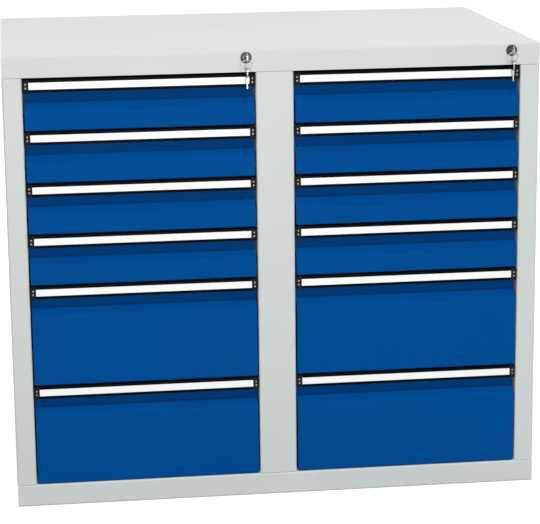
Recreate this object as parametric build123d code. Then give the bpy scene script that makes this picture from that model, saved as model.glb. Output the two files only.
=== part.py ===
from build123d import *
import math
import os

# Steel drawer cabinet in millimetres: front towards -Y, +Z up,
# with the origin on the floor under the middle of the base

# Housing
opening_width = 398.0
stile_width = 34.0
post_width = 66.0
cabinet_depth = 600.0
base_rail_height = 40.0
fascia_height = 37.5
sheet = 1.5
bend = 2.0
stile_return = 38.0
fascia_return = 15.0
rear_flange = 20.0
rear_fold = 30.0
base_lip = 20.0
floor_channel_width = 60.0
upright_depth = 40.0
post_notch = 60.0
seam_gap = 0.5

# Drawer spacing, from the top of each column down
short_count = 4
tall_count = 2
short_pitch = 90.0
tall_pitch = 180.0
drawer_gap = 2.0
top_gap = 2.5
side_gap = 2.5
handle_side_gap = 1.0

# Folded drawer front
front_sheet = 1.2
front_bend = 1.5
recess_depth = 18.0
recess_height = 18.0
slope_height = 13.5
front_corner_radius = 4.0

# Handle rail, its end caps and its label
handle_height = 21.5
handle_wall = 3.0
handle_edge_bend = 0.8
handle_proud = 1.5
cap_width = 9.5
label_height = 12.0
label_drop = 4.5
label_end_margin = 0.5
label_thickness = 0.6
label_groove = 1.0
label_clearance = 0.2

# Tray
tray_sheet = 1.0
tray_lift = 6.0
tray_headroom = 16.0
rear_clearance = 40.0

# Two-member runners
slide_room = 13.0
rail_sheet = 1.5
rail_bend = 1.0
rail_height = 35.0
rail_width = 10.0
rail_lift = 27.0
rail_setback = 24.0
slide_clearance = 0.3

# Locks in the fascia
lock_inset = 16.0
lock_flange_radius = 9.75
lock_flange = 2.0
barrel_radius = 8.0
barrel_length = 24.0
hole_clearance = 0.1
plug_radius = 6.0
running_clearance = 0.05
clip_half_width = 13.0
clip_margin = 1.0
clip_sheet = 1.5
drive_radius = 7.5
drive_sheet = 2.0
drive_gap = 0.3
pin_radius = 1.5
pin_length = 6.0

# Keys and rings
key_sheet = 2.0
key_clearance = 0.1
key_neck = 2.0
bow_radius = 8.5
bow_hole_radius = 4.0
blade_height = 6.0
blade_length = 16.0
notch_width = 1.6
notch_places_shares = (0.35, 0.5, 0.65, 0.8)
notch_depth_shares = (0.2, 0.32, 0.14, 0.26)
ring_inner_radius = 9.0
ring_wire_radius = 0.7
hanging_clearance = 0.3

# Locking bars, one tab and one tray catch for each drawer
bar_drop = 8.0
bar_sheet = 3.0
bar_width = 10.0
bar_setback = 22.0
bar_clearance = 0.3
bar_end_margin = 3.0
tab_lift = 15.0
tab_height = 8.0
tab_sheet = 3.0
tab_inset = 2.0
tab_reach = 8.0
window_clearance = 0.5
arm_sheet = 3.0
arm_inset = 5.0
arm_margin = 2.0
slot_clearance = 0.4
catch_reach = 8.0
catch_length = 8.0
catch_gap = 1.0
catch_clearance = 0.5

# How far a cutting block runs past what it cuts
overrun = 5.0

# Places worked out from the sizes
cabinet_width = 2 * (stile_width + opening_width) + post_width
opening_height = short_count * short_pitch + tall_count * tall_pitch + top_gap
opening_top = base_rail_height + opening_height
stile_top = opening_top - seam_gap
cabinet_height = opening_top + fascia_height
half_width = cabinet_width / 2
half_post = post_width / 2
front_y = -cabinet_depth / 2
back_y = cabinet_depth / 2
inner_back_y = back_y - sheet
under_top = cabinet_height - sheet
rear_fold_z = cabinet_height - rear_fold
columns = {
    "left": (-half_post - opening_width, -half_post),
    "right": (half_post, half_post + opening_width),
}
front_depth = recess_depth + front_sheet
tray_front_y = front_y + front_depth
tray_back_y = inner_back_y - rear_clearance
lock_z = under_top - bend - clip_margin - barrel_radius
pin_throw = bar_drop / math.sqrt(2)
pin_offset = pin_throw * math.sin(math.pi / 4)
lock_face_y = front_y - lock_flange
bow_y = lock_face_y - key_neck - bow_radius
bow_rim = bow_radius - bow_hole_radius
rim_offset = bow_hole_radius + bow_rim / 2
ring_drop = ring_inner_radius - math.hypot(bow_rim / 2, key_sheet / 2) - hanging_clearance
ring_radius = ring_inner_radius + ring_wire_radius
ring_z = lock_z - rim_offset - ring_drop
spare_pivot_z = ring_z - ring_radius
spare_bow_z = spare_pivot_z - (bow_hole_radius - ring_wire_radius - hanging_clearance)
bar_y = (front_y + bar_setback, front_y + bar_setback + bar_width)
tab_y = (bar_y[0] + tab_inset, bar_y[0] + tab_inset + tab_sheet)
catch_y = (tab_y[1] + catch_gap, tab_y[1] + catch_gap + catch_length)
arm_y = (bar_y[0] + arm_inset, bar_y[0] + arm_inset + arm_sheet)


def drawer_places():
    """Number, floor height and pitch of each drawer in a column, from the top down."""
    places = []
    floor = opening_top - top_gap
    for number, pitch in enumerate([short_pitch] * short_count + [tall_pitch] * tall_count, start=1):
        floor -= pitch
        places.append((number, floor, pitch))
    return places


drawers = drawer_places()


def block(x_span, y_span, z_span):
    """Box between a low and a high value on each axis."""
    spans = (x_span, y_span, z_span)
    size = [high - low for low, high in spans]
    middle = [(low + high) / 2 for low, high in spans]
    return Pos(*middle) * Box(*size)


def rod(radius, x, z, y_span):
    """Round bar along Y."""
    low, high = y_span
    return Pos(x, (low + high) / 2, z) * Rot(90, 0, 0) * Cylinder(radius, high - low)


def folded(points, thickness, inner_radius):
    """Section of a folded sheet: its points follow one face, and the sheet lies to the left of them."""
    path = [Vector(*point) for point in points]
    runs = [(end - start).normalized() for start, end in zip(path, path[1:])]
    normals = [Vector(-run.Y, run.X) for run in runs]
    offset = [path[0] + normals[0] * thickness]
    near_radii = []
    far_radii = []
    for corner, before, after in zip(path[1:], normals, normals[1:]):
        mitre = (before + after) * (thickness / (1 + before.dot(after)))
        offset.append(corner + mitre)
        turns_left = before.cross(after).Z > 0
        near_radii.append(inner_radius + thickness if turns_left else inner_radius)
        far_radii.append(inner_radius if turns_left else inner_radius + thickness)
    offset.append(path[-1] + normals[-1] * thickness)
    outline = path + offset[::-1]
    radii = [0, *near_radii, 0, 0, *far_radii[::-1], 0]
    return make_face(FilletPolyline(*outline, radius=radii, close=True))


def along_x(section, span):
    """Section drawn in Y and Z, drawn out over a span of X."""
    low, high = span
    return Pos(low, 0, 0) * extrude(Plane.YZ * section, amount=high - low)


def along_y(section, span):
    """Section drawn in X and Z, drawn out over a span of Y."""
    low, high = span
    return Pos(0, high, 0) * extrude(Plane.XZ * section, amount=high - low)


def along_z(section, span):
    """Section drawn in X and Y, drawn out over a span of Z."""
    low, high = span
    return Pos(0, 0, low) * extrude(section, amount=high - low)


def lock_x(column):
    return columns[column][1] - lock_inset


def tab_spans():
    """Heights of a locking bar's tabs while the lock is open."""
    return [(floor + tab_lift, floor + tab_lift + tab_height) for _, floor, _ in drawers]


def tab_windows(column):
    """Cuts in the wall right of a column, in which the bar's tabs move up and down."""
    wall = columns[column][1]
    x_span = (wall - overrun, wall + sheet + bar_clearance)
    y_span = (tab_y[0] - window_clearance, tab_y[1] + window_clearance)
    cuts = []
    for low, high in tab_spans():
        cuts.append(block(x_span, y_span, (low - bar_drop - window_clearance, high + window_clearance)))
    return cuts


def top_cover():
    fold = [
        (back_y, rear_fold_z),
        (back_y, cabinet_height),
        (front_y, cabinet_height),
        (front_y, opening_top),
    ]
    cover = along_x(folded(fold, sheet, bend), (-half_width, half_width))
    for column, span in columns.items():
        cover += block(span, (front_y, front_y + fascia_return), (opening_top, opening_top + sheet))
        hole_y = (front_y - overrun, front_y + sheet + overrun)
        cover -= rod(barrel_radius + hole_clearance, lock_x(column), lock_z, hole_y)
    return cover


def side_panel(cover):
    """Left panel: rear flange, outer sheet, front stile and its return, fitted under the folded cover."""
    inner_edge = -half_width + stile_width
    fold = [
        (-half_width + rear_flange, back_y),
        (-half_width, back_y),
        (-half_width, front_y),
        (inner_edge, front_y),
        (inner_edge, front_y + stile_return),
    ]
    panel = along_z(folded(fold, sheet, bend), (base_rail_height, stile_top))
    for z_span in ((0, base_rail_height), (stile_top, under_top)):
        panel += block((-half_width, -half_width + sheet), (front_y + sheet, inner_back_y), z_span)
    return panel - cover


def right_side_panel(cover):
    return mirror(side_panel(cover), about=Plane.YZ) - tab_windows("right")


def centre_partition():
    fold = [
        (-half_post, inner_back_y),
        (-half_post, front_y),
        (half_post, front_y),
        (half_post, inner_back_y),
    ]
    partition = along_z(folded(fold, sheet, bend), (base_rail_height, stile_top))
    for x_span in ((-half_post, -half_post + sheet), (half_post - sheet, half_post)):
        partition += block(x_span, (front_y + post_notch, inner_back_y - bend), (stile_top, under_top))
    return partition - tab_windows("left")


def base_panel():
    fold = [
        (inner_back_y, base_rail_height),
        (front_y, base_rail_height),
        (front_y, 0),
        (front_y + base_lip, 0),
    ]
    panel = along_x(folded(fold, sheet, bend), (-half_width, half_width))
    slot_y = (front_y + sheet, back_y)
    slot_z = (-overrun, base_rail_height + overrun)
    for x_span in ((-half_width - overrun, -half_width + sheet), (half_width - sheet, half_width + overrun)):
        panel -= block(x_span, slot_y, slot_z)
    return panel


def floor_channel():
    half = floor_channel_width / 2
    top = base_rail_height - sheet
    fold = [(-half, top), (-half, 0), (half, 0), (half, top)]
    return along_y(folded(fold, sheet, bend), (front_y + base_lip, inner_back_y))


def back_panel():
    """Flush sheet under the cover's rear fold, cut away for the side panels' rear flanges."""
    panel = block((-half_width, half_width), (inner_back_y, back_y), (0, rear_fold_z - seam_gap))
    edge = half_width - rear_flange - seam_gap
    cut_y = (inner_back_y - overrun, back_y + overrun)
    cut_z = (base_rail_height - seam_gap, stile_top + seam_gap)
    for x_span in ((-half_width - overrun, -edge), (edge, half_width + overrun)):
        panel -= block(x_span, cut_y, cut_z)
    return panel


def rear_uprights():
    inner_edge = -half_width + stile_width
    fold = [
        (inner_edge, inner_back_y - upright_depth),
        (inner_edge, inner_back_y),
        (-half_width + sheet + bend, inner_back_y),
    ]
    left = along_z(folded(fold, sheet, bend), (base_rail_height, under_top - bend))
    return [left, mirror(left, about=Plane.YZ)]


def runner_rail():
    """Fixed channel on a wall at X = 0, open towards +X."""
    half = rail_height / 2
    fold = [(rail_width, half), (0, half), (0, -half), (rail_width, -half)]
    return along_y(folded(fold, rail_sheet, rail_bend), (front_y + rail_setback, inner_back_y))


def slide_member():
    """Moving channel that runs inside the rail on a wall at X = 0 and is fixed to the tray."""
    half = rail_height / 2 - rail_sheet - slide_clearance
    start = rail_sheet + slide_clearance
    fold = [(start, -half), (slide_room, -half), (slide_room, half), (start, half)]
    return along_y(folded(fold, rail_sheet, rail_bend), (tray_front_y, tray_back_y))


def runner_pair(runner, column, floor):
    """The same runner on both walls of a column."""
    low, high = columns[column]
    middle_z = floor + rail_lift + rail_height / 2
    return [
        Pos(low, 0, middle_z) * runner,
        Pos(high, 0, middle_z) * mirror(runner, about=Plane.YZ),
    ]


def column_rails(column):
    rails = []
    for _, floor, _ in drawers:
        rails += runner_pair(runner_rail(), column, floor)
    return rails


def front_heights(floor, pitch):
    """Bottom and top edge of a drawer front."""
    return floor + drawer_gap / 2, floor + pitch - drawer_gap / 2


def span_between(column, gap):
    """Width of a column's opening, less a gap at each side."""
    low, high = columns[column]
    return low + gap, high - gap


def drawer_front(column, floor, pitch):
    """Folded sheet with the finger recess, the slope, the flat face and closed lower ends."""
    bottom, top = front_heights(floor, pitch)
    slope_top = top - handle_height - recess_height
    slope_bottom = slope_top - slope_height
    recess_y = front_y + recess_depth
    low, high = span_between(column, side_gap)
    fold = [
        (recess_y, top - handle_wall),
        (recess_y, slope_top),
        (front_y, slope_bottom),
        (front_y, bottom),
        (tray_front_y, bottom),
    ]
    front = along_x(folded(fold, front_sheet, front_bend), (low, high))
    end_outline = [
        (front_y + front_sheet, bottom + front_sheet),
        (front_y + front_sheet, slope_bottom),
        (recess_y + front_sheet, slope_top),
        (tray_front_y, bottom + front_sheet),
    ]
    end_face = make_face(Polyline(*end_outline, close=True))
    for x_span in ((low, low + front_sheet), (high - front_sheet, high)):
        front += along_x(end_face, x_span)
    rounded_height = top - bottom + front_corner_radius
    outline = RectangleRounded(high - low, rounded_height, front_corner_radius)
    outline = Pos((low + high) / 2, bottom + rounded_height / 2) * outline
    return front & along_y(outline, (front_y - overrun, tray_front_y + overrun))


def handle(column, floor, pitch):
    """Black angle rail with a label groove, two end caps that close the pocket's ends, and the label."""
    _, top = front_heights(floor, pitch)
    low, high = span_between(column, handle_side_gap)
    face_y = front_y - handle_proud
    fold = [(tray_front_y + tray_sheet, top), (face_y, top), (face_y, top - handle_height)]
    section = folded(fold, handle_wall, handle_edge_bend)
    rail_span = (low + cap_width, high - cap_width)
    label_x = (rail_span[0] + label_end_margin, rail_span[1] - label_end_margin)
    label_z = (top - label_drop - label_height, top - label_drop)
    groove_x = (label_x[0] - label_clearance, label_x[1] + label_clearance)
    groove_z = (label_z[0] - label_clearance, label_z[1] + label_clearance)
    groove_floor = face_y + label_groove
    rail = along_x(section, rail_span) - block(groove_x, (face_y - overrun, groove_floor), groove_z)
    label = block(label_x, (groove_floor - label_thickness, groove_floor), label_z)
    gusset_y = (face_y + handle_wall, front_y + recess_depth)
    gusset_z = (top - handle_height, top - handle_wall)
    caps = []
    for x_span, gusset_x in (
        ((low, rail_span[0]), (low, low + handle_wall)),
        ((rail_span[1], high), (high - handle_wall, high)),
    ):
        caps.append(along_x(section, x_span) + block(gusset_x, gusset_y, gusset_z))
    return [rail, *caps, label]


def tray(column, floor, pitch):
    """Open sheet tray with a raised front wall, its two slide members and its locking catch."""
    bottom, top = front_heights(floor, pitch)
    low, high = columns[column]
    x_span = (low + slide_room, high - slide_room)
    tray_z = (bottom + tray_lift, top - tray_headroom)
    inner_x = (x_span[0] + tray_sheet, x_span[1] - tray_sheet)
    inner_y = (tray_front_y + tray_sheet, tray_back_y - tray_sheet)
    shell = block(x_span, (tray_front_y, tray_back_y), tray_z)
    shell -= block(inner_x, inner_y, (tray_z[0] + tray_sheet, tray_z[1] + overrun))
    shell += block(x_span, (tray_front_y, tray_front_y + tray_sheet), (tray_z[0], top - handle_wall))
    catch_top = floor + tab_lift - catch_clearance
    catch_z = (catch_top - bar_drop + catch_clearance, catch_top)
    catch = block((x_span[1], x_span[1] + catch_reach), catch_y, catch_z)
    return [shell, catch, *runner_pair(slide_member(), column, floor)]


def lock_housing(column):
    x = lock_x(column)
    body = rod(lock_flange_radius, x, lock_z, (lock_face_y, front_y))
    body += rod(barrel_radius, x, lock_z, (lock_face_y, front_y + barrel_length))
    bore_y = (lock_face_y - overrun, front_y + barrel_length + overrun)
    return body - rod(plug_radius + running_clearance, x, lock_z, bore_y)


def lock_clip(column):
    """Spring plate on the barrel that holds the lock against the back of the fascia."""
    x = lock_x(column)
    half_height = barrel_radius + clip_margin
    y_span = (front_y + sheet, front_y + sheet + clip_sheet)
    z_span = (lock_z - half_height, lock_z + half_height)
    plate = block((x - clip_half_width, x + clip_half_width), y_span, z_span)
    return plate - rod(barrel_radius + hole_clearance, x, lock_z, y_span)


def lock_plug(column):
    """Turning core with its keyway, drive disc and the eccentric pin that lowers the locking bar."""
    x = lock_x(column)
    disc_y = front_y + barrel_length + drive_gap
    pin_y = disc_y + drive_sheet
    plug = rod(plug_radius, x, lock_z, (lock_face_y, disc_y))
    plug += rod(drive_radius, x, lock_z, (disc_y, pin_y))
    plug += rod(pin_radius, x + pin_offset, lock_z + pin_offset, (disc_y, pin_y + pin_length))
    half_slot = key_sheet / 2 + key_clearance
    half_height = blade_height / 2 + key_clearance
    keyway_x = (x - half_slot, x + half_slot)
    keyway_y = (lock_face_y - overrun, lock_face_y + blade_length + key_clearance)
    keyway_z = (lock_z - half_height, lock_z + half_height)
    return plug - block(keyway_x, keyway_y, keyway_z)


def flat_key():
    """Key with its bow centred on the origin in the YZ plane and its blade along +Y."""
    half = key_sheet / 2
    half_blade = blade_height / 2
    shoulder = bow_radius + key_neck
    tip = shoulder + blade_length
    key = Rot(0, 90, 0) * Cylinder(bow_radius, key_sheet)
    key += block((-half, half), (0, tip), (-half_blade, half_blade))
    for place_share, depth_share in zip(notch_places_shares, notch_depth_shares):
        notch_y = shoulder + place_share * blade_length
        notch_z = half_blade - depth_share * blade_height
        y_span = (notch_y - notch_width / 2, notch_y + notch_width / 2)
        key -= block((-half - overrun, half + overrun), y_span, (notch_z, half_blade + overrun))
    return key - Rot(0, 90, 0) * Cylinder(bow_hole_radius, key_sheet + overrun)


def key_in_lock(column):
    return Pos(lock_x(column), bow_y, lock_z) * flat_key()


def key_ring(column):
    """Ring in the XZ plane that hangs on the lower rim of the key's bow."""
    return Pos(lock_x(column), bow_y, ring_z) * Rot(90, 0, 0) * Torus(ring_radius, ring_wire_radius)


def spare_key(column):
    """Second key, hanging blade down from the lowest point of the ring."""
    return Pos(lock_x(column), bow_y, spare_bow_z) * Rot(-90, 0, 0) * flat_key()


def locking_bar(column):
    """Upright bar behind the wall, with a tab for each drawer and an arm that rides on the lock's pin."""
    wall = columns[column][1]
    strip_x = (wall + sheet + bar_clearance, wall + sheet + bar_clearance + bar_sheet)
    pin_x = lock_x(column) + pin_offset
    pin_z = lock_z + pin_offset
    slot_half_height = pin_radius + slot_clearance
    arm_z = (pin_z - slot_half_height - arm_margin, pin_z + slot_half_height + arm_margin)
    tabs = tab_spans()
    strip_low = min(low for low, _ in tabs) - bar_end_margin
    bar = block(strip_x, bar_y, (strip_low, arm_z[1]))
    for tab_z in tabs:
        bar += block((wall - tab_reach, strip_x[1]), tab_y, tab_z)
    slot_x = (pin_x - pin_radius - slot_clearance, lock_x(column) + pin_throw + pin_radius + slot_clearance)
    bar += block((slot_x[0] - arm_margin, strip_x[1]), arm_y, arm_z)
    slot_y = (arm_y[0] - overrun, arm_y[1] + overrun)
    return bar - block(slot_x, slot_y, (pin_z - slot_half_height, pin_z + slot_half_height))


def pieces():
    """Every node of the cabinet: its name, and one solid or a list of them."""
    cover = top_cover()
    nodes = {
        "top_cover": cover,
        "left_side_panel": side_panel(cover),
        "right_side_panel": right_side_panel(cover),
        "centre_partition": centre_partition(),
        "base_panel": base_panel(),
        "floor_channel": floor_channel(),
        "back_panel": back_panel(),
        "rear_uprights": rear_uprights(),
        "lock_clips": [lock_clip(column) for column in columns],
    }
    for column in columns:
        nodes[f"{column}_column_rails"] = column_rails(column)
        nodes[f"{column}_lock_housing"] = lock_housing(column)
        nodes[f"{column}_lock_plug"] = lock_plug(column)
        nodes[f"{column}_key"] = key_in_lock(column)
        nodes[f"{column}_key_ring"] = key_ring(column)
        nodes[f"{column}_spare_key"] = spare_key(column)
        nodes[f"{column}_locking_bar"] = locking_bar(column)
        for number, floor, pitch in drawers:
            name = f"{column}_drawer_{number}"
            nodes[f"{name}_tray"] = tray(column, floor, pitch)
            nodes[f"{name}_front"] = drawer_front(column, floor, pitch)
            nodes[f"{name}_handle"] = handle(column, floor, pitch)
    return nodes


os.makedirs("parts", exist_ok=True)
for name, shape in pieces().items():
    solids = [solid for item in (shape if isinstance(shape, list) else [shape]) for solid in item.solids()]
    export_step(solids[0] if len(solids) == 1 else Compound(children=solids), f"parts/{name}.step")
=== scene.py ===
import math

import bmesh
import bpy
from mathutils import Matrix, Vector


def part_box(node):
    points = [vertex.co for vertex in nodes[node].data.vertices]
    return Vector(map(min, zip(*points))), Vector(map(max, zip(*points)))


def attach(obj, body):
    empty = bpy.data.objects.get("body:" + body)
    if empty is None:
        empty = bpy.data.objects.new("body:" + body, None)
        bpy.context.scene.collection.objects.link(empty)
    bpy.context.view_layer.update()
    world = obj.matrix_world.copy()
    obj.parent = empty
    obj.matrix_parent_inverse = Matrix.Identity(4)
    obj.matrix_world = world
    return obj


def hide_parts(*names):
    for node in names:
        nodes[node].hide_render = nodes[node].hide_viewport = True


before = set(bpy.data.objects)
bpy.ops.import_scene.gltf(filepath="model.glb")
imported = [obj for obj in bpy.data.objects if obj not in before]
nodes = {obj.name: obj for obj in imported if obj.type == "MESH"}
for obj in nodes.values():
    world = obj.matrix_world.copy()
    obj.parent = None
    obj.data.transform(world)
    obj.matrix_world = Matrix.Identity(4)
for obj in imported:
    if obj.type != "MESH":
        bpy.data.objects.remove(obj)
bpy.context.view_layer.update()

# All lengths are in metres, in the frame of the CAD model
columns = ("left", "right")
drawers_per_column = 6
drawers = [f"{column}_drawer_{number + 1}" for column in columns for number in range(drawers_per_column)]
plain_housing = (
    "top_cover",
    "left_side_panel",
    "right_side_panel",
    "centre_partition",
    "base_panel",
    "floor_channel",
    "rear_uprights",
)

# Camera, lights and stage
camera_place = (-0.4477, -3.7861, 1.2402)
camera_yaw, camera_pitch, camera_roll = 7.13, 13.026, 0.64
camera_lens = 137.4
sensor_width = 36.0
sky_strength = 0.22
light_target = (0.0, -0.3, 0.4)
front_box_place, front_box_size, front_box_power = (0.1, -4.2, 0.65), 1.1, 52.0
top_box_place, top_box_size, top_box_power = (0.1, -4.7, 5.7), 1.2, 258.0
rear_sun_azimuths = (-140.0, 140.0)
rear_sun_elevation, rear_sun_spread = 35.0, 30.0
rear_sun_strength = 1.1
floor_half = 30.0
floor_drop = 0.0005
floor_bounce = 0.35
floor_glow = 0.8
floor_diffuse = 0.45

# Colours, linear
white = (1.0, 1.0, 1.0)
grey_paint = (0.606, 0.645, 0.632)
blue_paint = (0.000, 0.074, 0.297)
tray_grey = (0.58, 0.61, 0.60)
rail_black = (0.003, 0.0035, 0.004)
# Black of the end caps, also painted on the runners' front ends as shade in the gaps beside the drawer fronts
cap_and_painted_shade_black = (0.013, 0.014, 0.015)
pin_grey = (0.17, 0.18, 0.18)
card_white = (0.97, 0.975, 0.97)
# Lock nickel made dark as a painted reflection, standing in for the dark surroundings that bright chrome
# mirrors
painted_dark_reflection_nickel = (0.05, 0.05, 0.053)
key_nickel = (0.44, 0.435, 0.42)
zinc = (0.56, 0.57, 0.58)

# Gloss: roughness and specular level of paint and plastic, roughness and grain of plated metal
grey_gloss = (0.46, 0.4)
blue_gloss = (0.5, 0.015)
tray_gloss = (0.5, 0.4)
rail_gloss = (0.30, 0.015)
cap_gloss = (0.42, 0.04)
lock_roughness, key_roughness, pin_roughness = 0.24, 0.22, 0.35
even_grain, key_grain = (1.0, 1.0, 1.0), (1.0, 0.1, 1.0)

# Noise: the span that its values usually take, and its usual detail. In the patterns below, shades are factors
# on a colour and spreads are added to a roughness.
noise_span = (0.3, 0.7)
usual_detail = 2.0

# Powder coat: clouds, specks and orange peel
cloud_scale, cloud_detail, cloud_share = 3.0, 3.0, 0.7
speck_scale, speck_share = 420.0, 0.3
paint_shades = (0.965, 1.035)
paint_gloss_spread = (-0.06, 0.06)
peel_scale, peel_strength, peel_height = 900.0, 0.12, 0.00025

# Spot welds of the back panel, in rows at these distances from the middle
weld_rows = (0.438,)
weld_spacing, weld_radius = 0.09, 0.0045
weld_strength, weld_depth = 0.8, 0.0008

# Moulded plastic
plastic_cloud_scale, plastic_cloud_detail = 60.0, 4.0
plastic_shades = (0.8, 1.25)
plastic_gloss_scale, plastic_gloss_spread = 900.0, (-0.05, 0.08)
grain_scale, grain_strength, grain_height = 2200.0, 0.15, 0.0001

# Label card with its paper fibres, under a clear strip
fibre_stretch = (0.25, 1.0, 1.0)
fibre_scale, fibre_detail = 1500.0, 4.0
fibre_strength, fibre_height = 0.1, 0.00005
card_shades = (0.97, 1.01)
card_roughness = (0.55, 0.7)
card_specular = 0.3
strip_weight, strip_roughness = 0.35, 0.12

# Nickel plate with polishing marks
polish_scale, polish_detail = 2600.0, 3.0
polish_strength, polish_height = 0.08, 0.00005
nickel_cloud_scale = 120.0
nickel_shades = (0.85, 1.0)
nickel_gloss_spread = (-0.06, 0.1)

# Zinc plate with its crystals
crystal_scale = 140.0
zinc_shades = (0.82, 1.12)
zinc_roughness = (0.32, 0.48)
zinc_grain_scale, zinc_grain_strength, zinc_grain_height = 1200.0, 0.08, 0.0001

# Rounding of sharp edges
edge_softness = 0.0004
handle_softness, label_softness = 0.00025, 0.0001
merge_distance = 0.00001
bevel_angle, flat_angle = math.radians(35), math.radians(0.5)
bevel_segments = 2

# Handle rail, end caps and label, measured from the handle's front top edge
handle_wall = 0.003
handle_corner, corner_steps = 0.002, 8
handle_foot, handle_inner, foot_steps = 0.0008, 0.0008, 4
cap_width = 0.0095
gusset_depth = 0.0195
channel_depth = 0.001
label_drop, label_height = 0.0045, 0.012
label_clearance = 0.0002
label_margin = 0.0005
label_thickness = 0.0006

# Pin heads in the end caps. The dome is given in shares of the radius and of the height that stands proud.
pin_radius, pin_proud, pin_seat = 0.0019, 0.0004, 0.0015
pin_drops = (0.0075, 0.0140)
pin_dome = ((0.0, 1.0), (0.5, 0.9), (0.85, 0.5), (1.0, 0.0))

# Lock rosette: radii, depths behind its face, and the groove as distances inside the barrel's radius
lock_bore, lock_barrel, lock_rim = 0.00605, 0.008, 0.00975
lock_flange, lock_depth = 0.002, 0.026
bore_chamfer = 0.0004
rim_round, rim_steps = 0.0012, 6
groove_edges, groove_floor, groove_depth = (0.0008, 0.0001), (0.0006, 0.0003), 0.0003
lathe_steps = 48

# How far the slide members stand out from a tray's walls, and how far back the runners are painted black as
# shade
slide_depth = 0.0112
slide_tolerance = 0.0002
painted_shade_length = 0.03


def opaque(colour):
    return (*colour, 1.0)


def shaded(colour, shades):
    """A darker and a lighter version of a colour."""
    return [tuple(channel * shade for channel in colour) for shade in shades]


def around(value, spreads):
    """The ends of a span about a value."""
    return [value + spread for spread in spreads]


def new_material(name):
    material = bpy.data.materials.new(name)
    material.use_nodes = True
    tree = material.node_tree
    return material, tree, tree.nodes["Principled BSDF"]


def surface_point(tree):
    return tree.nodes.new("ShaderNodeTexCoord").outputs["Object"]


def stretched(tree, point, scale):
    """Point with each axis scaled, which draws a pattern out along the axes with small values."""
    mapping = tree.nodes.new("ShaderNodeMapping")
    mapping.inputs["Scale"].default_value = scale
    tree.links.new(point, mapping.inputs["Vector"])
    return mapping.outputs["Vector"]


def split_axes(tree, point):
    axes = tree.nodes.new("ShaderNodeSeparateXYZ")
    tree.links.new(point, axes.inputs["Vector"])
    return axes.outputs


def noise(tree, point, scale, detail=usual_detail):
    texture = tree.nodes.new("ShaderNodeTexNoise")
    texture.inputs["Scale"].default_value = scale
    texture.inputs["Detail"].default_value = detail
    tree.links.new(point, texture.inputs["Vector"])
    return texture.outputs["Fac"]


def mapped(tree, value, low, high, span=noise_span):
    """Maps a span of values, by default that of a noise, to the one from low to high."""
    step = tree.nodes.new("ShaderNodeMapRange")
    start, end = span
    for name, number in (("From Min", start), ("From Max", end), ("To Min", low), ("To Max", high)):
        step.inputs[name].default_value = number
    tree.links.new(value, step.inputs["Value"])
    return step.outputs["Result"]


def calculate(tree, operation, first, second=None):
    """One step of arithmetic on sockets or numbers."""
    step = tree.nodes.new("ShaderNodeMath")
    step.operation = operation
    for socket, value in zip(step.inputs, (first, second)):
        if isinstance(value, (int, float)):
            socket.default_value = value
        elif value is not None:
            tree.links.new(value, socket)
    return step.outputs["Value"]


def tint(tree, factor, dark, light):
    """Mixes two colours, each a value or a socket."""
    mix = tree.nodes.new("ShaderNodeMix")
    mix.data_type = "RGBA"
    colours = [socket for socket in mix.inputs if socket.type == "RGBA"]
    for socket, colour in zip(colours, (dark, light)):
        if isinstance(colour, tuple):
            socket.default_value = opaque(colour)
        else:
            tree.links.new(colour, socket)
    tree.links.new(factor, mix.inputs["Factor"])
    return next(socket for socket in mix.outputs if socket.type == "RGBA")


def relief(tree, height, strength, distance, under=None):
    """Surface normal with a fine relief, on top of another normal where given."""
    bump = tree.nodes.new("ShaderNodeBump")
    bump.inputs["Strength"].default_value = strength
    bump.inputs["Distance"].default_value = distance
    tree.links.new(height, bump.inputs["Height"])
    if under is not None:
        tree.links.new(under, bump.inputs["Normal"])
    return bump.outputs["Normal"]


def connect(tree, shader, colour, roughness, normal):
    """Feeds the three sockets that every finish has into its shader."""
    tree.links.new(colour, shader.inputs["Base Color"])
    tree.links.new(roughness, shader.inputs["Roughness"])
    tree.links.new(normal, shader.inputs["Normal"])


def powder_coat(name, colour, gloss, rows=()):
    """Satin powder coat: faint clouds, fine specks and orange peel, with rows of spot welds where given."""
    material, tree, shader = new_material(name)
    point = surface_point(tree)
    roughness, specular = gloss
    cloud = mapped(tree, noise(tree, point, cloud_scale, cloud_detail), 0.0, cloud_share)
    specks = noise(tree, point, speck_scale)
    shade = calculate(tree, "ADD", cloud, mapped(tree, specks, 0.0, speck_share))
    welds = spot_welds(tree, point, rows) if rows else None
    connect(
        tree,
        shader,
        tint(tree, shade, *shaded(colour, paint_shades)),
        mapped(tree, specks, *around(roughness, paint_gloss_spread)),
        relief(tree, noise(tree, point, peel_scale), peel_strength, peel_height, welds),
    )
    shader.inputs["Specular IOR Level"].default_value = specular
    return material


def spot_welds(tree, point, rows):
    """Shallow round dimples one above the other, at the given distances from the middle."""
    axes = split_axes(tree, point)
    aside = calculate(tree, "ABSOLUTE", axes["X"])
    above = calculate(tree, "PINGPONG", axes["Z"], weld_spacing / 2)
    height = None
    for row in rows:
        across = calculate(tree, "SUBTRACT", aside, row)
        squares = [calculate(tree, "MULTIPLY", value, value) for value in (across, above)]
        distance = calculate(tree, "SQRT", calculate(tree, "ADD", *squares))
        dimple = mapped(tree, distance, 0.0, 1.0, (weld_radius / 2, weld_radius))
        height = dimple if height is None else calculate(tree, "MINIMUM", height, dimple)
    return relief(tree, height, weld_strength, weld_depth)


def moulded_plastic(name, colour, gloss):
    """Satin plastic with a fine grain."""
    material, tree, shader = new_material(name)
    point = surface_point(tree)
    roughness, specular = gloss
    cloud = mapped(tree, noise(tree, point, plastic_cloud_scale, plastic_cloud_detail), 0.0, 1.0)
    patches = noise(tree, point, plastic_gloss_scale)
    connect(
        tree,
        shader,
        tint(tree, cloud, *shaded(colour, plastic_shades)),
        mapped(tree, patches, *around(roughness, plastic_gloss_spread)),
        relief(tree, noise(tree, point, grain_scale), grain_strength, grain_height),
    )
    shader.inputs["Specular IOR Level"].default_value = specular
    return material


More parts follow.
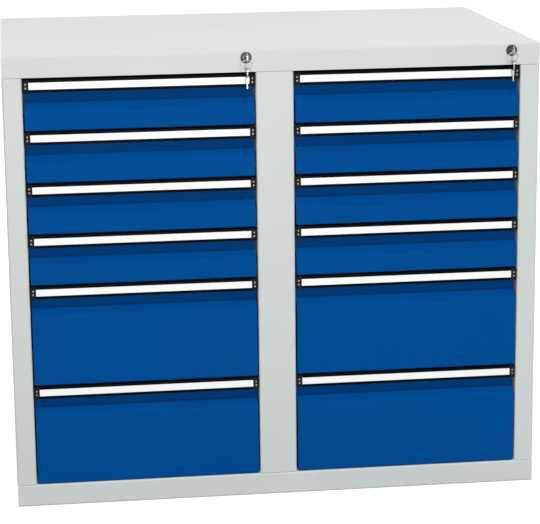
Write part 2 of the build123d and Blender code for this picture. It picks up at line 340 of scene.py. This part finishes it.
def label_card(name, colour):
    """White card under a clear strip: faint fibres below a smooth coat."""
    material, tree, shader = new_material(name)
    point = surface_point(tree)
    fibres = noise(tree, stretched(tree, point, fibre_stretch), fibre_scale, fibre_detail)
    connect(
        tree,
        shader,
        tint(tree, mapped(tree, fibres, 0.0, 1.0), *shaded(colour, card_shades)),
        mapped(tree, fibres, *card_roughness),
        relief(tree, fibres, fibre_strength, fibre_height),
    )
    shader.inputs["Specular IOR Level"].default_value = card_specular
    shader.inputs["Coat Weight"].default_value = strip_weight
    shader.inputs["Coat Roughness"].default_value = strip_roughness
    return material


def plated_metal(name, colour, roughness, grain=even_grain):
    """Nickel plate with fine polishing marks, drawn out along the axis with the small grain value."""
    material, tree, shader = new_material(name)
    point = surface_point(tree)
    marks = noise(tree, stretched(tree, point, grain), polish_scale, polish_detail)
    cloud = mapped(tree, noise(tree, point, nickel_cloud_scale), 0.0, 1.0)
    connect(
        tree,
        shader,
        tint(tree, cloud, *shaded(colour, nickel_shades)),
        mapped(tree, marks, *around(roughness, nickel_gloss_spread)),
        relief(tree, marks, polish_strength, polish_height),
    )
    shader.inputs["Metallic"].default_value = 1.0
    return material


def zinc_plate(name, colour, painted_shade_end=None):
    """Bright zinc plate with a faint crystal pattern, painted black as shade ahead of the given end along Y,
    if there is one.
    """
    material, tree, shader = new_material(name)
    point = surface_point(tree)
    crystals = tree.nodes.new("ShaderNodeTexVoronoi")
    crystals.inputs["Scale"].default_value = crystal_scale
    tree.links.new(point, crystals.inputs["Vector"])
    channels = tree.nodes.new("ShaderNodeSeparateColor")
    tree.links.new(crystals.outputs["Color"], channels.inputs["Color"])
    shade = channels.outputs["Red"]
    base = tint(tree, shade, *shaded(colour, zinc_shades))
    if painted_shade_end is None:
        shader.inputs["Metallic"].default_value = 1.0
    else:
        # Painted shade: black ahead of that end, where the gaps beside the drawer fronts show the runners
        outside_painted_shade = calculate(tree, "GREATER_THAN", split_axes(tree, point)["Y"], painted_shade_end)
        base = tint(tree, outside_painted_shade, cap_and_painted_shade_black, base)
        tree.links.new(outside_painted_shade, shader.inputs["Metallic"])
    connect(
        tree,
        shader,
        base,
        mapped(tree, shade, *zinc_roughness, (0.0, 1.0)),
        relief(tree, noise(tree, point, zinc_grain_scale), zinc_grain_strength, zinc_grain_height),
    )
    return material


def dress(node, material):
    """Gives a CAD node its finish in place of the plain one that it came with."""
    mesh = nodes[node].data
    mesh.materials.clear()
    mesh.materials.append(material)


def soften(node, width):
    """Rounds a CAD node's sharp edges a little, so that they catch the light as real ones do."""
    piece = nodes[node]
    mesh = piece.data
    if "custom_normal" in mesh.attributes:
        mesh.attributes.remove(mesh.attributes["custom_normal"])
    mesh.polygons.foreach_set("use_smooth", [True] * len(mesh.polygons))
    weld = piece.modifiers.new("weld", "WELD")
    weld.merge_threshold = merge_distance
    flatten = piece.modifiers.new("flatten", "DECIMATE")
    flatten.decimate_type = "DISSOLVE"
    flatten.angle_limit = flat_angle
    round_edges(piece, width)


def round_edges(piece, width):
    bevel = piece.modifiers.new("bevel", "BEVEL")
    bevel.width = width
    bevel.segments = bevel_segments
    bevel.limit_method = "ANGLE"
    bevel.angle_limit = bevel_angle
    bevel.face_strength_mode = "FSTR_ALL"
    normals = piece.modifiers.new("normals", "WEIGHTED_NORMAL")
    normals.use_face_influence = True


def arc(centre, radius, start, end, steps):
    """Points on an arc between two angles in degrees."""
    angles = [math.radians(start + (end - start) * step / steps) for step in range(steps + 1)]
    return [(centre[0] + radius * math.cos(a), centre[1] + radius * math.sin(a)) for a in angles]


def finished_mesh(name, shape):
    """Turns a bmesh into a mesh with outward faces and smooth shading."""
    bmesh.ops.recalc_face_normals(shape, faces=shape.faces)
    mesh = bpy.data.meshes.new(name)
    shape.to_mesh(mesh)
    shape.free()
    mesh.polygons.foreach_set("use_smooth", [True] * len(mesh.polygons))
    return mesh


def prism(shape, outline, x_span):
    """Closed solid: an outline in Y and Z drawn out along X."""
    ends = [[shape.verts.new((x, y, z)) for y, z in outline] for x in x_span]
    for loop in ends:
        shape.faces.new(loop)
    count = len(outline)
    for index in range(count):
        after = (index + 1) % count
        shape.faces.new((ends[0][index], ends[0][after], ends[1][after], ends[1][index]))


def draw_out(shape, faces, distance):
    """Draws faces out along X and returns those at the new end."""
    made = bmesh.ops.extrude_face_region(shape, geom=faces)["geom"]
    moved = [item for item in made if isinstance(item, bmesh.types.BMVert)]
    bmesh.ops.translate(shape, verts=moved, vec=(distance, 0, 0))
    return [item for item in made if isinstance(item, bmesh.types.BMFace)]


def lathe(shape, profile, closed, centre=(0, 0, 0)):
    """Turned form: (radius, y) points swept about an axis along Y, the last joined to the first if closed."""
    rings = []
    for radius, y in profile:
        steps = lathe_steps if radius > 0 else 1
        ring = []
        for step in range(steps):
            angle = 2 * math.pi * step / lathe_steps
            offset = Vector((radius * math.cos(angle), y, radius * math.sin(angle)))
            ring.append(shape.verts.new(Vector(centre) + offset))
        rings.append(ring)
    pairs = list(zip(rings, rings[1:]))
    if closed:
        pairs.append((rings[-1], rings[0]))
    for ring, other in pairs:
        for step in range(lathe_steps):
            after = (step + 1) % lathe_steps
            corners = [
                ring[step % len(ring)],
                ring[after % len(ring)],
                other[after % len(other)],
                other[step % len(other)],
            ]
            shape.faces.new(list(dict.fromkeys(corners)))


def show(name, mesh, material, place, body, soft_edge=0.0):
    """Puts a mesh in the scene, with its finish, riding on a body."""
    piece = bpy.data.objects.new(name, mesh)
    bpy.context.scene.collection.objects.link(piece)
    piece.location = place
    if not mesh.materials:
        mesh.materials.append(material)
    if soft_edge:
        round_edges(piece, soft_edge)
    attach(piece, body)
    return piece


def front_top_corner():
    return arc((handle_corner, -handle_corner), handle_corner, 90, 180, corner_steps)


def front_foot(height):
    return arc((handle_foot, handle_foot - height), handle_foot, 180, 270, foot_steps)


def rail_outline(depth, height):
    """Section of the handle rail, from the web's back edge round the front and back again."""
    channel_top = -(label_drop - label_clearance)
    channel_low = -(label_drop + label_height + label_clearance)
    inner_corner = (handle_wall + handle_inner, -handle_wall - handle_inner)
    return [
        (depth, 0.0),
        *front_top_corner(),
        (0.0, channel_top),
        (channel_depth, channel_top),
        (channel_depth, channel_low),
        (0.0, channel_low),
        *front_foot(height),
        (handle_wall, -height),
        *arc(inner_corner, handle_inner, 180, 90, foot_steps),
        (depth, -handle_wall),
    ]


def rail_mesh(width, depth, height):
    shape = bmesh.new()
    half = width / 2 - cap_width
    prism(shape, rail_outline(depth, height), (-half, half))
    return finished_mesh("handle_rail", shape)


def caps_mesh(width, depth, height):
    """Both end caps: an outer plate that closes the pocket's end, and a short length of the rail's angle."""
    shape = bmesh.new()
    for side in (-1, 1):
        outer = side * width / 2
        angle = [
            (gusset_depth, -handle_wall),
            (depth, -handle_wall),
            (depth, 0.0),
            *front_top_corner(),
            *front_foot(height),
            (handle_wall, -height),
            (handle_wall, -handle_wall),
        ]
        corners = {point: shape.verts.new((outer, *point)) for point in angle}
        plate = [
            corners[angle[-1]],
            corners[angle[-2]],
            shape.verts.new((outer, gusset_depth, -height)),
            corners[angle[0]],
        ]
        faces = [shape.faces.new(list(corners.values())), shape.faces.new(plate)]
        inner = draw_out(shape, faces, -side * handle_wall)
        angle_end = max(inner, key=lambda face: len(face.verts))
        draw_out(shape, [angle_end], -side * (cap_width - handle_wall))
    return finished_mesh("handle_caps", shape)


def pins_mesh(width):
    """Two small round pin heads in each end cap."""
    shape = bmesh.new()
    dome = [(pin_radius * out, -pin_proud * proud) for out, proud in pin_dome]
    profile = [*dome, (pin_radius, pin_seat), (0.0, pin_seat)]
    for side in (-1, 1):
        for drop in pin_drops:
            centre = (side * (width / 2 - cap_width / 2), 0.0, -drop)
            lathe(shape, profile, False, centre)
    return finished_mesh("handle_pins", shape)


def label_mesh(width):
    shape = bmesh.new()
    half = width / 2 - cap_width - label_margin
    front = channel_depth - label_thickness
    low = -(label_drop + label_height)
    outline = [(front, -label_drop), (front, low), (channel_depth, low), (channel_depth, -label_drop)]
    prism(shape, outline, (-half, half))
    return finished_mesh("label_card", shape)


def add_handles():
    """Rail, caps, pins and label of each drawer. All handles are of one size, so they share their meshes."""
    low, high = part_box(f"{drawers[0]}_handle")
    width, depth, height = high - low
    rail = moulded_plastic("black_rail", rail_black, rail_gloss)
    cap = moulded_plastic("black_cap", cap_and_painted_shade_black, cap_gloss)
    pin = plated_metal("cap_pin", pin_grey, pin_roughness)
    card = label_card("label_white", card_white)
    parts = (
        ("rail", rail_mesh(width, depth, height), rail, handle_softness),
        ("end_caps", caps_mesh(width, depth, height), cap, handle_softness),
        ("cap_pins", pins_mesh(width), pin, 0.0),
        ("label", label_mesh(width), card, label_softness),
    )
    for drawer in drawers:
        low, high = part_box(f"{drawer}_handle")
        place = ((low.x + high.x) / 2, low.y, high.z)
        for name, mesh, finish, softness in parts:
            piece = show(f"{drawer}_{name}", mesh, finish, place, drawer, softness)
            if name == "rail":
                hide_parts(f"{drawer}_handle")


def add_lock_rosettes(finish):
    """Turned lock housing with a domed rim and a fine groove round the plug."""
    shape = bmesh.new()
    profile = [
        (lock_bore, bore_chamfer),
        (lock_bore + bore_chamfer, 0.0),
        (lock_barrel - groove_edges[0], 0.0),
        (lock_barrel - groove_floor[0], groove_depth),
        (lock_barrel - groove_floor[1], groove_depth),
        (lock_barrel - groove_edges[1], 0.0),
        *arc((lock_rim - rim_round, rim_round), rim_round, -90, 0, rim_steps),
        (lock_rim, lock_flange),
        (lock_barrel, lock_flange),
        (lock_barrel, lock_depth),
        (lock_bore, lock_depth),
    ]
    lathe(shape, profile, True)
    mesh = finished_mesh("lock_rosette", shape)
    for column in columns:
        low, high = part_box(f"{column}_lock_housing")
        place = ((low.x + high.x) / 2, low.y, (low.z + high.z) / 2)
        piece = show(f"{column}_lock_rosette", mesh, finish, place, "housing")
        piece.modifiers.new("normals", "WEIGHTED_NORMAL")
        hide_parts(f"{column}_lock_housing")


def dress_trays(paint, steel):
    """Painted tray shells. The slide members and the catch are in the runners' zinc, which carries its painted
    black shade near the front.
    """
    for drawer in drawers:
        node = f"{drawer}_tray"
        dress(node, paint)
        mesh = nodes[node].data
        mesh.materials.append(steel)
        low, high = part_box(node)
        shell_low = low.x + slide_depth - slide_tolerance
        shell_high = high.x - slide_depth + slide_tolerance
        for face in mesh.polygons:
            face.material_index = 0 if shell_low <= face.center.x <= shell_high else 1


def dress_housing():
    grey = powder_coat("grey_powder_coat", grey_paint, grey_gloss)
    back = powder_coat("grey_powder_coat_welded", grey_paint, grey_gloss, weld_rows)
    for node in plain_housing:
        dress(node, grey)
        soften(node, edge_softness)
    dress("back_panel", back)
    soften("back_panel", edge_softness)


def dress_fronts():
    blue = powder_coat("blue_powder_coat", blue_paint, blue_gloss)
    for drawer in drawers:
        dress(f"{drawer}_front", blue)
        soften(f"{drawer}_front", edge_softness)


def dress_steel():
    """Runners with their front ends painted black as shade, trays, lock clips and locking bars."""
    steel = zinc_plate("zinc_plated_steel", zinc)
    rails_low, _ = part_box("left_column_rails")
    # The runners' front ends are painted black as shade
    runner_with_painted_shade = zinc_plate("runner_steel_with_painted_shade", zinc, rails_low.y + painted_shade_length)
    dress("lock_clips", steel)
    for column in columns:
        dress(f"{column}_column_rails", runner_with_painted_shade)
        dress(f"{column}_locking_bar", steel)
    dress_trays(powder_coat("tray_powder_coat", tray_grey, tray_gloss), runner_with_painted_shade)


def dress_locks(lock):
    key = plated_metal("nickel_key", key_nickel, key_roughness, key_grain)
    for column in columns:
        dress(f"{column}_lock_plug", lock)
        for name in ("key", "key_ring", "spare_key"):
            dress(f"{column}_{name}", key)
        for name in ("key", "spare_key"):
            soften(f"{column}_{name}", handle_softness)


def seen_directly(tree):
    """1 for rays from the camera, in mirrors and through glass, and 0 for rays that carry light."""
    path = tree.nodes.new("ShaderNodeLightPath")
    seen = calculate(tree, "MAXIMUM", path.outputs["Is Camera Ray"], path.outputs["Is Glossy Ray"])
    return calculate(tree, "MAXIMUM", seen, path.outputs["Is Transmission Ray"])


def choose_by_ray(tree, lighting, seen, output):
    """Uses one shader for rays that carry light and another for those that are seen directly."""
    mix = tree.nodes.new("ShaderNodeMixShader")
    tree.links.new(seen_directly(tree), mix.inputs["Fac"])
    tree.links.new(lighting.outputs[0], mix.inputs[1])
    tree.links.new(seen.outputs[0], mix.inputs[2])
    tree.links.new(mix.outputs[0], output.inputs["Surface"])


def add_sky():
    world = bpy.data.worlds.new("studio")
    bpy.context.scene.world = world
    world.use_nodes = True
    tree = world.node_tree
    tree.nodes.clear()
    light, backdrop = (tree.nodes.new("ShaderNodeBackground") for _ in range(2))
    for shader in (light, backdrop):
        shader.inputs["Color"].default_value = opaque(white)
    light.inputs["Strength"].default_value = sky_strength
    choose_by_ray(tree, light, backdrop, tree.nodes.new("ShaderNodeOutputWorld"))


def floor_finish():
    """White to the eye, with the cabinet's soft shadow on it, and grey for the light it throws back."""
    material, tree, _ = new_material("studio_floor")
    tree.nodes.clear()
    bounce, shadowed = (tree.nodes.new("ShaderNodeBsdfDiffuse") for _ in range(2))
    bounce.inputs["Color"].default_value = opaque((floor_bounce,) * 3)
    shadowed.inputs["Color"].default_value = opaque((floor_diffuse,) * 3)
    glow = tree.nodes.new("ShaderNodeEmission")
    glow.inputs["Strength"].default_value = floor_glow
    lit = tree.nodes.new("ShaderNodeAddShader")
    tree.links.new(shadowed.outputs[0], lit.inputs[0])
    tree.links.new(glow.outputs[0], lit.inputs[1])
    choose_by_ray(tree, bounce, lit, tree.nodes.new("ShaderNodeOutputMaterial"))
    return material


def add_floor():
    shape = bmesh.new()
    bmesh.ops.create_grid(shape, x_segments=1, y_segments=1, size=floor_half)
    mesh = bpy.data.meshes.new("studio_floor")
    shape.to_mesh(mesh)
    shape.free()
    floor = bpy.data.objects.new("studio_floor", mesh)
    floor.location.z = -floor_drop
    bpy.context.scene.collection.objects.link(floor)
    mesh.materials.append(floor_finish())


def add_lamp(name, kind, place, target):
    lamp = bpy.data.lights.new(name, kind)
    holder = bpy.data.objects.new(name, lamp)
    holder.location = place
    holder.rotation_euler = (Vector(target) - Vector(place)).to_track_quat("-Z", "Y").to_euler()
    bpy.context.scene.collection.objects.link(holder)
    return lamp


def add_lights():
    """Soft light from in front and from above, and two suns that light the sides and the back."""
    front = add_lamp("front_softbox", "AREA", front_box_place, light_target)
    front.size, front.energy = front_box_size, front_box_power
    above = add_lamp("top_softbox", "AREA", top_box_place, light_target)
    above.size, above.energy = top_box_size, top_box_power
    elevation = math.radians(rear_sun_elevation)
    for azimuth in rear_sun_azimuths:
        turn = math.radians(azimuth)
        level = (math.sin(turn) * math.cos(elevation), -math.cos(turn) * math.cos(elevation))
        sun = add_lamp("rear_sun", "SUN", (*level, math.sin(elevation)), (0, 0, 0))
        sun.energy, sun.angle = rear_sun_strength, math.radians(rear_sun_spread)


def add_camera():
    lens = bpy.data.cameras.new("camera")
    lens.sensor_width = sensor_width
    lens.lens = camera_lens
    camera = bpy.data.objects.new("camera", lens)
    turn = Matrix.Rotation(math.radians(-camera_yaw), 4, "Z")
    tilt = Matrix.Rotation(math.radians(90 - camera_pitch), 4, "X")
    lean = Matrix.Rotation(math.radians(-camera_roll), 4, "Z")
    camera.matrix_world = Matrix.Translation(camera_place) @ turn @ tilt @ lean
    bpy.context.scene.collection.objects.link(camera)
    bpy.context.scene.camera = camera


# The lock's plate and plug are darkened as a painted reflection of dark surroundings
lock_metal = plated_metal("lock_painted_dark_reflection", painted_dark_reflection_nickel, lock_roughness)
dress_housing()
dress_fronts()
dress_steel()
dress_locks(lock_metal)
add_handles()
add_lock_rosettes(lock_metal)
add_sky()
add_floor()
add_lights()
add_camera()
bpy.context.scene.view_settings.view_transform = "Standard"
